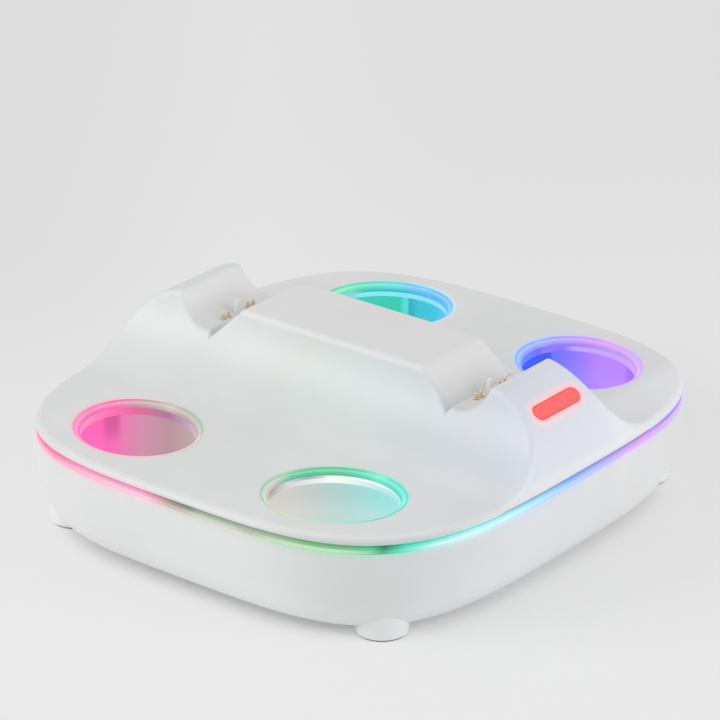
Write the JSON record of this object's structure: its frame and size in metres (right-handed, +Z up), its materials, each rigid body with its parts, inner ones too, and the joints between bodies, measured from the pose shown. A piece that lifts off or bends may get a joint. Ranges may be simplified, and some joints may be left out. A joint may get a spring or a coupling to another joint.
{
  "type": "controller charging dock",
  "caption": "Rounded white dock that stands game controllers on a raised ridge with spring contacts, their grips in lit oval wells, with a rainbow light strip round its edge",
  "frame": {"origin": "middle of the footprint, on the surface that the dock stands on", "axes": "X runs along the ridge, Y runs from front to back with the power socket at +Y, Z is up"},
  "size_m": [0.1538, 0.1648, 0.0546],
  "materials": {
    "shell_white": "fine matte moulded off-white plastic",
    "light_strip": "translucent light guide, lit in rainbow colours",
    "well_rim_glow": "translucent light guide, lit in rainbow colours",
    "well_cup_frost": "frosted translucent plastic",
    "lens_red": "translucent lens, lit red",
    "contact_white": "fine matte moulded plastic",
    "contact_gold": "gold-plated brass",
    "flex_white": "white solder mask",
    "led_white": "moulded light-emitting diode bodies",
    "board_green": "green solder mask on glass fibre board",
    "chip_black": "black moulded chip bodies",
    "socket_steel": "plated steel shell",
    "screw_steel": "zinc-plated steel",
    "pad_rubber": "matte rubber"
  },
  "bodies": {
    "dock": {"top_shell": "shell_white", "base_shell": "shell_white", "light_strip": "light_strip", "strip_flex": "flex_white", "strip_leds": "led_white", "well_rim_front_left": "well_rim_glow", "well_rim_front_right": "well_rim_glow", "well_rim_back_left": "well_rim_glow", "well_rim_back_right": "well_rim_glow", "well_cup_front_left": "well_cup_frost", "well_cup_front_right": "well_cup_frost", "well_cup_back_left": "well_cup_frost", "well_cup_back_right": "well_cup_frost", "led_ring_front_left": "board_green", "led_ring_front_right": "board_green", "led_ring_back_left": "board_green", "led_ring_back_right": "board_green", "contact_block_left": "contact_white", "contact_block_right": "contact_white", "contact_board_left": "board_green", "contact_board_right": "board_green", "pin_barrels_left": "contact_gold", "pin_barrels_right": "contact_gold", "indicator_lens_left": "lens_red", "indicator_lens_right": "lens_red", "indicator_board_left": "board_green", "indicator_board_right": "board_green", "main_board": "board_green", "board_chips": "chip_black", "power_socket": "socket_steel", "board_screws": "screw_steel", "case_screws": "screw_steel", "foot_pad_front_left": "pad_rubber", "foot_pad_front_right": "pad_rubber", "foot_pad_back_left": "pad_rubber", "foot_pad_back_right": "pad_rubber"},
    "plunger_left_1": {"pin_left_1": "contact_gold"},
    "plunger_left_2": {"pin_left_2": "contact_gold"},
    "plunger_left_3": {"pin_left_3": "contact_gold"},
    "plunger_left_4": {"pin_left_4": "contact_gold"},
    "plunger_right_1": {"pin_right_1": "contact_gold"},
    "plunger_right_2": {"pin_right_2": "contact_gold"},
    "plunger_right_3": {"pin_right_3": "contact_gold"},
    "plunger_right_4": {"pin_right_4": "contact_gold"}
  },
  "joints": [
    {"name": "plunger_left_1_slide", "type": "slide", "parent": "dock", "child": "plunger_left_1", "axis": [0, 0, -1], "range_m": [0, 0.0012], "stiffness_N_per_m": 400, "springref_m": -0.0006},
    {"name": "plunger_left_2_slide", "type": "slide", "parent": "dock", "child": "plunger_left_2", "axis": [0, 0, -1], "range_m": [0, 0.0012], "stiffness_N_per_m": 400, "springref_m": -0.0006},
    {"name": "plunger_left_3_slide", "type": "slide", "parent": "dock", "child": "plunger_left_3", "axis": [0, 0, -1], "range_m": [0, 0.0012], "stiffness_N_per_m": 400, "springref_m": -0.0006},
    {"name": "plunger_left_4_slide", "type": "slide", "parent": "dock", "child": "plunger_left_4", "axis": [0, 0, -1], "range_m": [0, 0.0012], "stiffness_N_per_m": 400, "springref_m": -0.0006},
    {"name": "plunger_right_1_slide", "type": "slide", "parent": "dock", "child": "plunger_right_1", "axis": [0, 0, -1], "range_m": [0, 0.0012], "stiffness_N_per_m": 400, "springref_m": -0.0006},
    {"name": "plunger_right_2_slide", "type": "slide", "parent": "dock", "child": "plunger_right_2", "axis": [0, 0, -1], "range_m": [0, 0.0012], "stiffness_N_per_m": 400, "springref_m": -0.0006},
    {"name": "plunger_right_3_slide", "type": "slide", "parent": "dock", "child": "plunger_right_3", "axis": [0, 0, -1], "range_m": [0, 0.0012], "stiffness_N_per_m": 400, "springref_m": -0.0006},
    {"name": "plunger_right_4_slide", "type": "slide", "parent": "dock", "child": "plunger_right_4", "axis": [0, 0, -1], "range_m": [0, 0.0012], "stiffness_N_per_m": 400, "springref_m": -0.0006}
  ]
}
